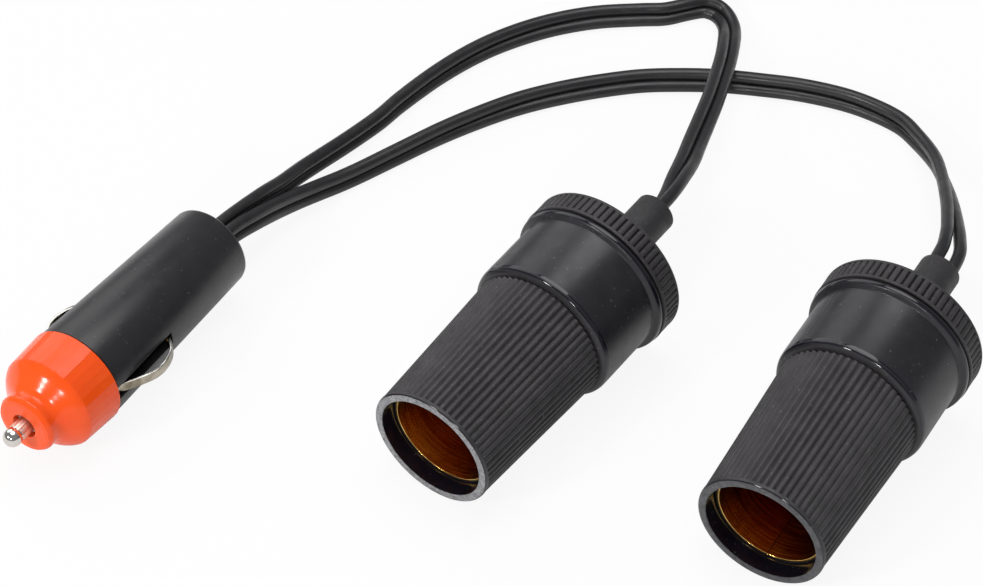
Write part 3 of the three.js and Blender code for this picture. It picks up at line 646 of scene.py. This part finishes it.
# %% Nose cap
SKIRT_LONG = 8.5
FACET = tau / 36
nose_line = smooth_line(
    [(5.8, -15.9), (6.3, -15.1), (6.26, -14.2), (6.3, -13.4), (6.8, -12.5), (7.9, -11.4),
     (9.1, -10.25), (9.85, -9.3), (10.25, -SKIRT_LONG - 0.1)], 8)
nose_section = [
    (2.6, -16.05, 0.15), (5.0, -16.05), *[tuple(p) for p in nose_line], (10.3, -SKIRT_LONG),
    (10.72, -0.05, 0.08), (10.6, 0.0), (9.3, 0.0, 0.1), (9.3, -6.3), (3.75, -6.3), (3.75, -14.6),
    (2.6, -14.6),
]


def faceted(radius, distance, angle):
    if distance < -SKIRT_LONG - 0.12 or radius < 10:
        return radius
    return radius * cos(FACET / 2) / cos(angle % FACET - FACET / 2)


bm = spun(nose_section, 36 * 6)
move_radially(bm, faceted)
add_piece(
    "nose", bm, plug_place, orange, "orange_plastic", "splitter", "nose_cap", sharp=9)

# %% [markdown]
# The tip is a ball on a shaft with 14 fine ridges. A spring behind the fuse pushes it out, so it
# rides on the body that slides.

# %% Tip
BALL_AT, BALL_R = -19.45, 1.9
ball = [
    (BALL_R * sin(radians(a)), BALL_AT - BALL_R * cos(radians(a))) for a in range(0, 113, 8)
]
tip_section = [
    *ball, (1.8, -18.4), (1.85, -18.2), (1.85, -14.95), (2.2, -14.9), (2.2, -14.3), (3.3, -14.3, 0.1),
    (3.3, -13.5, 0.1), (2.2, -13.5), (2.2, -12.6, 0.2), (0, -12.6),
]
bm = spun(tip_section, 14 * 8, closed=False)
move_radially(bm, pressed_flutes(14, 0.08, -18.3, -14.93, 1.7, 1))
paint(bm, 1, -18.45, -14.6)
add_piece("tip", bm, plug_place, [nickel, ribbed_nickel], "nickel_plate", "tip", "tip_pin")

# %% [markdown]
# ## The plug's barrel
#
# A tapered tube with a round rear edge and a neck for the nose cap. The two slots for the side
# contacts and the square hole for the cords are cut with a Boolean, which is applied at once, so
# that the finished mesh has no live modifiers. The inner wall goes in afterwards.

# %% Barrel
barrel_section = [
    (0, 43.9), (8.88, 43.9, 1.0), (10.4, 0.3, 0.12), (9.0, 0.3), (9.0, -6.0, 0.2), (7.6, -6.0, 0.1),
    (7.6, 1.0), (8.66, 1.0), (7.26, 41.7), (0, 41.7),
]
inner_wall = [
    (0, 29.6), (3.75, 29.6), (3.75, 19.5), (4.75, 19.5), (4.75, 29.6), (8.2, 29.6), (8.2, 31.0), (0, 31.0),
]


def cut_box(bm, low, high):
    """Cuts a box out of the bmesh with an exact Boolean and returns the result."""
    base, tool = bpy.data.meshes.new("base"), bpy.data.meshes.new("tool")
    bm.to_mesh(base)
    bm.free()
    cutter = bmesh.new()
    middle = [(a + b) / 2 for a, b in zip(low, high)]
    size = [b - a for a, b in zip(low, high)]
    bmesh.ops.create_cube(cutter, size=1, matrix=Matrix.Translation(middle) @ Matrix.Diagonal((*size, 1)))
    cutter.to_mesh(tool)
    cutter.free()
    objects = [bpy.data.objects.new(mesh.name, mesh) for mesh in (base, tool)]
    for item in objects:
        bpy.context.scene.collection.objects.link(item)
    cut = objects[0].modifiers.new("cut", "BOOLEAN")
    cut.object, cut.operation, cut.solver = objects[1], "DIFFERENCE", "EXACT"
    result = bmesh.new()
    result.from_object(objects[0], bpy.context.evaluated_depsgraph_get())
    for item in objects:
        mesh = item.data
        bpy.data.objects.remove(item)
        bpy.data.meshes.remove(mesh)
    return result


bm = spun(barrel_section, 144, closed=False)
bm = cut_box(bm, (-3.1, 41.0, -3.1), (3.1, 45.0, 3.1))
for low, high in (((-12, -7, -1.5), (-7.3, 17.9, 1.5)), ((7.3, -7, -1.5), (12, 17.9, 1.5))):
    bm = cut_box(bm, low, high)
wall_mesh = bpy.data.meshes.new("inner_wall")
wall = spun(inner_wall, 96, closed=False)
wall.to_mesh(wall_mesh)
wall.free()
bm.from_mesh(wall_mesh)
bpy.data.meshes.remove(wall_mesh)
add_piece("barrel", bm, plug_place, satin_black, "black_plastic", "splitter", "plug_barrel", sharp=30)

# %% [markdown]
# ## Side contacts
#
# Each contact is a flat strip of nickelled steel, seated in the neck, that bows out and curls back
# into its slot. Its edge outline is filled as one flat face, extruded to the strip's width and
# softened with a small bevel.

# %% Side contacts
STRIP_THICK, STRIP_WIDE = 0.6, 2.0
strip_line = smooth_line([
    (8.0, -4.4), (8.0, -2.6), (8.735, 0.6), (11.2, 4.47), (13.09, 8.63), (12.94, 12.3),
    (11.41, 15.4), (9.26, 17.0), (8.42, 16.9),
], 7)
for name, side in (("left", -1), ("right", 1)):
    bm = bmesh.new()
    outside, inside = [], []
    for i, point in enumerate(strip_line):
        ahead = strip_line[min(i + 1, len(strip_line) - 1)] - strip_line[max(i - 1, 0)]
        ahead.normalize()
        out = Vector((ahead.y, -ahead.x)) * STRIP_THICK / 2
        outside.append(point + out)
        inside.append(point - out)
    verts = [bm.verts.new((side * p.x, p.y, -STRIP_WIDE / 2)) for p in outside + inside[::-1]]
    flat = bm.faces.new(verts)
    grown = bmesh.ops.extrude_face_region(bm, geom=[flat])["geom"]
    bmesh.ops.translate(
        bm, vec=(0, 0, STRIP_WIDE), verts=[g for g in grown if isinstance(g, bmesh.types.BMVert)])
    rims = [e for e in bm.edges if abs(e.verts[0].co.z - e.verts[1].co.z) < 0.01]
    bmesh.ops.bevel(
        bm, geom=rims, offset=0.1, segments=2, affect="EDGES", profile=0.5, material=-1)
    bm.normal_update()
    # The wide faces take the darker strip nickel as painted shade, and the narrow edges take the plain nickel.
    for face in bm.faces:
        face.material_index = int(abs(face.normal.z) > 0.6)
    add_piece(
        f"strip_{name}", bm, plug_place, [strip_nickel_painted_shade, nickel], "nickel_plate", f"{name}_contact",
        f"side_contact_{name}", sharp=60)

# %% [markdown]
# ## Pieces inside
#
# The pieces that only show through an opening keep the solid model's own shapes. They still get
# finished materials, chosen by the first words of their names.

# %% Materials of the inner solids
inner = {
    "fuse_cap": nickel, "fuse_glass": glass, "fuse_wire": steel, "fuse_spring": steel,
    "positive": brass, "negative": brass, "contact_ring": brass, "contact_nut": steel,
    "plug_cord": matte_black, "socket_cord": matte_black, "plug_live": copper,
    "plug_earth": copper, "socket_live": copper, "socket_earth": copper,
}
dressed = 0
for name, node in nodes.items():
    finish = next((m for start, m in inner.items() if name.startswith(start)), None)
    if finish:
        for place in node.material_slots:
            place.material = finish
        dressed += 1
print("dressed", dressed, "inner solids")

# %% [markdown]
# ## Floor and light
#
# The object stands on a pale floor in a white studio. The floor is mostly a plain white to the
# camera, with enough of its lit colour left to keep a soft shadow. Two small soft boxes give the
# two bright spots on the orange shoulder, and a large one at the left gives the long grey sheen.

# %% Floor and surroundings
floor_bm = bmesh.new()
bmesh.ops.create_grid(floor_bm, x_segments=1, y_segments=1, size=4)
floor_material, shader = new_material("floor", Roughness=0.9)
shader.inputs["Base Color"].default_value = (0.86, 0.86, 0.86, 1)


def seen_directly(tree):
    """0.9 for rays from the camera, less off a glossy surface or through glass, else 0."""
    path = tree.nodes.new("ShaderNodeLightPath")
    total = None
    for name, share in (("Is Camera Ray", 0.9), ("Is Glossy Ray", 0.25), ("Is Transmission Ray", 0.6)):
        part = tree.nodes.new("ShaderNodeMath")
        part.operation = "MULTIPLY"
        part.inputs[1].default_value = share
        tree.links.new(path.outputs[name], part.inputs[0])
        if total:
            larger = tree.nodes.new("ShaderNodeMath")
            larger.operation = "MAXIMUM"
            tree.links.new(total, larger.inputs[0])
            tree.links.new(part.outputs[0], larger.inputs[1])
            total = larger.outputs[0]
        else:
            total = part.outputs[0]
    return total


tree = floor_material.node_tree
white = tree.nodes.new("ShaderNodeEmission")
mix = tree.nodes.new("ShaderNodeMixShader")
tree.links.new(seen_directly(tree), mix.inputs["Fac"])
tree.links.new(shader.outputs["BSDF"], mix.inputs[1])
tree.links.new(white.outputs["Emission"], mix.inputs[2])
tree.links.new(mix.outputs["Shader"], tree.nodes["Material Output"].inputs["Surface"])
floor = make_object("floor", floor_bm, floor_material)

world = bpy.data.worlds.new("studio")
bpy.context.scene.world = world
world.use_nodes = True
tree = world.node_tree
room = tree.nodes["Background"]
room.inputs["Color"].default_value = (0.95, 0.97, 1.0, 1)
room.inputs["Strength"].default_value = 0.26
backdrop = tree.nodes.new("ShaderNodeBackground")
backdrop.inputs["Color"].default_value = (1, 1, 1, 1)
backdrop.inputs["Strength"].default_value = 1
mix = tree.nodes.new("ShaderNodeMixShader")
path = tree.nodes.new("ShaderNodeLightPath")
tree.links.new(path.outputs["Is Camera Ray"], mix.inputs["Fac"])
tree.links.new(room.outputs["Background"], mix.inputs[1])
tree.links.new(backdrop.outputs["Background"], mix.inputs[2])
tree.links.new(mix.outputs["Shader"], tree.nodes["World Output"].inputs["Surface"])
print("floor and white room")


# %% Lamps
def soft_box(name, direction, distance, size, power):
    """A round area lamp in a direction from the object's middle, turned towards it."""
    light = bpy.data.lights.new(name, "AREA")
    light.shape, light.size, light.energy = "DISK", size, power
    lamp = bpy.data.objects.new(name, light)
    bpy.context.scene.collection.objects.link(lamp)
    towards = Vector(direction).normalized()
    lamp.location = Vector((-0.02, 0.0, 0.01)) + towards * distance
    lamp.rotation_euler = (-towards).to_track_quat("-Z", "Y").to_euler()
    return lamp


lamps = [
    soft_box("front_left_box", (-0.269, -0.798, 0.539), 1.2, 0.17, 4.5),
    soft_box("front_right_box", (0.3, -0.862, 0.408), 1.3, 0.14, 3.5),
    soft_box("left_panel", (-0.8, 0.3, 0.7), 1.2, 1.0, 3.5),
    soft_box("top_panel", (0.0, 0.1, 1.0), 1.4, 1.1, 10.0),
]
bpy.context.scene.view_settings.view_transform = "Standard"
print("lamps:", [lamp.name for lamp in lamps])
